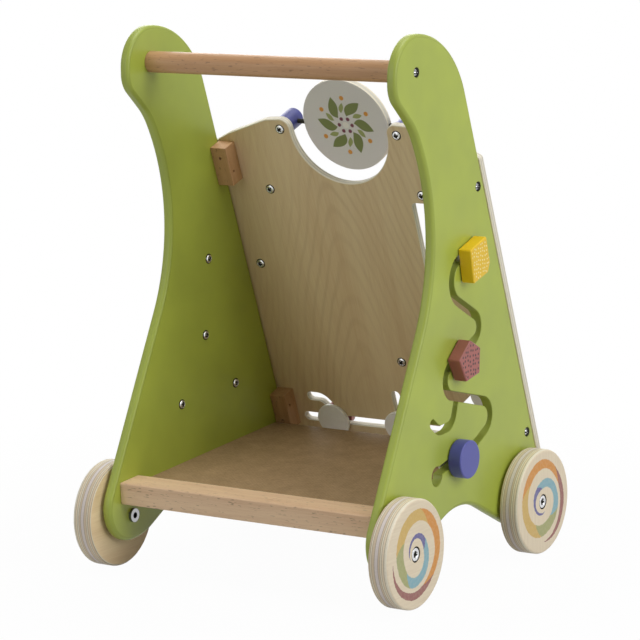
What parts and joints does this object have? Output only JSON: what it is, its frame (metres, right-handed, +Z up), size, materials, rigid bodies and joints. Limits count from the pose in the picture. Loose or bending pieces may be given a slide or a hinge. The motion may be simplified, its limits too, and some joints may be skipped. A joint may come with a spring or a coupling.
{
  "type": "baby push walker",
  "caption": "Wooden push-along walker for a toddler: grip bar, side panels, tray, wheels, and a leaning activity board with sliders, beads, flip-over disc and meshing gears.",
  "frame": {"origin": "on the floor, in the middle between the four wheels", "axes": "+Z up, +Y the way the walker rolls (away from the child), +X to the right of the child who pushes it"},
  "size_m": [0.31, 0.3, 0.456],
  "materials": {
    "green_paint": "satin paint on plywood",
    "beech": "sanded, clear lacquer",
    "birch_plywood": "sanded, clear lacquer",
    "hardboard": "textured brown",
    "yellow_paint": "satin paint",
    "red_brown_paint": "satin paint",
    "blue_violet_paint": "satin paint",
    "grey_plastic": "smooth, matt",
    "grey_print": "matt print on plywood",
    "zinc_steel": "zinc plated"
  },
  "bodies": {
    "frame": {"side_panel_left": "green_paint", "side_panel_right": "green_paint", "handle_bar": "beech", "handle_screws": "zinc_steel", "front_board": "birch_plywood", "corner_block_upper_left": "beech", "corner_block_upper_right": "beech", "corner_block_lower_left": "beech", "corner_block_lower_right": "beech", "block_side_screws": "zinc_steel", "block_front_screws": "zinc_steel", "rear_rail": "beech", "front_rail": "beech", "tray_board": "hardboard", "rail_screws": "zinc_steel", "wheel_barrel_nuts": "zinc_steel", "wheel_bolts": "zinc_steel", "wheel_washers": "zinc_steel", "spinner_post_left": "blue_violet_paint", "spinner_post_right": "blue_violet_paint", "spinner_post_screws": "zinc_steel", "gear_axles": "zinc_steel", "gear_screws": "zinc_steel", "bead_rod_upper": "zinc_steel", "bead_rod_lower": "zinc_steel", "bead_post_upper_left": "blue_violet_paint", "bead_post_upper_right": "blue_violet_paint", "bead_post_lower_left": "blue_violet_paint", "bead_post_lower_right": "blue_violet_paint", "bead_post_screws": "zinc_steel"},
    "rear_left_wheel": {"wheel_rear_left": "birch_plywood"},
    "rear_right_wheel": {"wheel_rear_right": "birch_plywood"},
    "front_left_wheel": {"wheel_front_left": "birch_plywood"},
    "front_right_wheel": {"wheel_front_right": "birch_plywood"},
    "spinner": {"spinner_disc": "grey_print", "spinner_pins": "zinc_steel"},
    "yellow_slider": {"slot_knob_yellow": "yellow_paint", "slot_retainer_yellow": "grey_plastic"},
    "red_slider": {"slot_knob_red": "red_brown_paint", "slot_retainer_red": "grey_plastic"},
    "blue_slider": {"slot_knob_blue": "blue_violet_paint", "slot_retainer_blue": "grey_plastic"},
    "left_board_slider": {"board_knob_left": "red_brown_paint", "board_retainer_left": "grey_plastic"},
    "middle_board_slider": {"board_knob_middle": "yellow_paint", "board_retainer_middle": "grey_plastic"},
    "right_board_slider": {"board_knob_right": "blue_violet_paint", "board_retainer_right": "grey_plastic"},
    "middle_gear": {"gear_middle": "yellow_paint"},
    "top_gear": {"gear_top": "blue_violet_paint"},
    "rear_gear": {"gear_rear": "red_brown_paint"},
    "front_gear": {"gear_front": "birch_plywood"},
    "upper_left_bead": {"bead_upper_left": "yellow_paint"},
    "upper_right_bead": {"bead_upper_right": "red_brown_paint"},
    "lower_left_bead": {"bead_lower_left": "blue_violet_paint"},
    "lower_right_bead": {"bead_lower_right": "green_paint"}
  },
  "joints": [
    {"name": "rear_left_wheel_spin", "type": "hinge", "parent": "frame", "child": "rear_left_wheel", "pos_m": [-0.146, -0.105, 0.045], "axis": [1, 0, 0], "continuous": true},
    {"name": "rear_right_wheel_spin", "type": "hinge", "parent": "frame", "child": "rear_right_wheel", "pos_m": [0.146, -0.105, 0.045], "axis": [1, 0, 0], "continuous": true},
    {"name": "front_left_wheel_spin", "type": "hinge", "parent": "frame", "child": "front_left_wheel", "pos_m": [-0.146, 0.105, 0.045], "axis": [1, 0, 0], "continuous": true},
    {"name": "front_right_wheel_spin", "type": "hinge", "parent": "frame", "child": "front_right_wheel", "pos_m": [0.146, 0.105, 0.045], "axis": [1, 0, 0], "continuous": true},
    {"name": "spinner_flip", "type": "hinge", "parent": "frame", "child": "spinner", "pos_m": [0, 0.04614, 0.3686], "axis": [1, 0, 0], "continuous": true},
    {"name": "yellow_slider_arc", "type": "hinge", "parent": "frame", "child": "yellow_slider", "pos_m": [0.1345, 0.0084, 0.2493], "axis": [1, 0, 0], "range_deg": [0, 160]},
    {"name": "red_slider_slide", "type": "slide", "parent": "frame", "child": "red_slider", "axis": [0, 0.9272, 0.3746], "range_m": [-0.012, 0.028]},
    {"name": "blue_slider_slide", "type": "slide", "parent": "frame", "child": "blue_slider", "axis": [0, 0.9777, 0.2102], "range_m": [-0.026, 0.026]},
    {"name": "left_board_slider_slide", "type": "slide", "parent": "frame", "child": "left_board_slider", "axis": [1, 0, 0], "range_m": [-0.022, 0.036]},
    {"name": "middle_board_slider_slide", "type": "slide", "parent": "frame", "child": "middle_board_slider", "axis": [1, 0, 0], "range_m": [-0.036, 0.092]},
    {"name": "right_board_slider_slide", "type": "slide", "parent": "frame", "child": "right_board_slider", "axis": [1, 0, 0], "range_m": [-0.008, 0.004]},
    {"name": "middle_gear_spin", "type": "hinge", "parent": "frame", "child": "middle_gear", "pos_m": [-0.1402, 0.008, 0.182], "axis": [1, 0, 0], "continuous": true},
    {"name": "top_gear_spin", "type": "hinge", "parent": "frame", "child": "top_gear", "pos_m": [-0.1402, 0.01496, 0.24824], "axis": [1, 0, 0], "continuous": true},
    {"name": "rear_gear_spin", "type": "hinge", "parent": "frame", "child": "rear_gear", "pos_m": [-0.1402, -0.02991, 0.12724], "axis": [1, 0, 0], "continuous": true},
    {"name": "front_gear_spin", "type": "hinge", "parent": "frame", "child": "front_gear", "pos_m": [-0.1402, 0.05213, 0.13212], "axis": [1, 0, 0], "continuous": true},
    {"name": "upper_left_bead_slide", "type": "slide", "parent": "frame", "child": "upper_left_bead", "axis": [0.9998, -0.0072, 0.0197], "range_m": [0, 0.042]},
    {"name": "upper_right_bead_slide", "type": "slide", "parent": "frame", "child": "upper_right_bead", "axis": [0.9998, -0.0072, 0.0197], "range_m": [-0.042, 0]},
    {"name": "lower_left_bead_slide", "type": "slide", "parent": "frame", "child": "lower_left_bead", "axis": [0.8202, 0.1957, -0.5376], "range_m": [-0.07, 0]},
    {"name": "lower_right_bead_slide", "type": "slide", "parent": "frame", "child": "lower_right_bead", "axis": [0.8202, 0.1957, -0.5376], "range_m": [-0.02, 0]}
  ],
  "couplings": [
    {"joint": "top_gear_spin", "follows": "middle_gear_spin", "ratio": -1},
    {"joint": "rear_gear_spin", "follows": "middle_gear_spin", "ratio": -1},
    {"joint": "front_gear_spin", "follows": "middle_gear_spin", "ratio": -1}
  ]
}
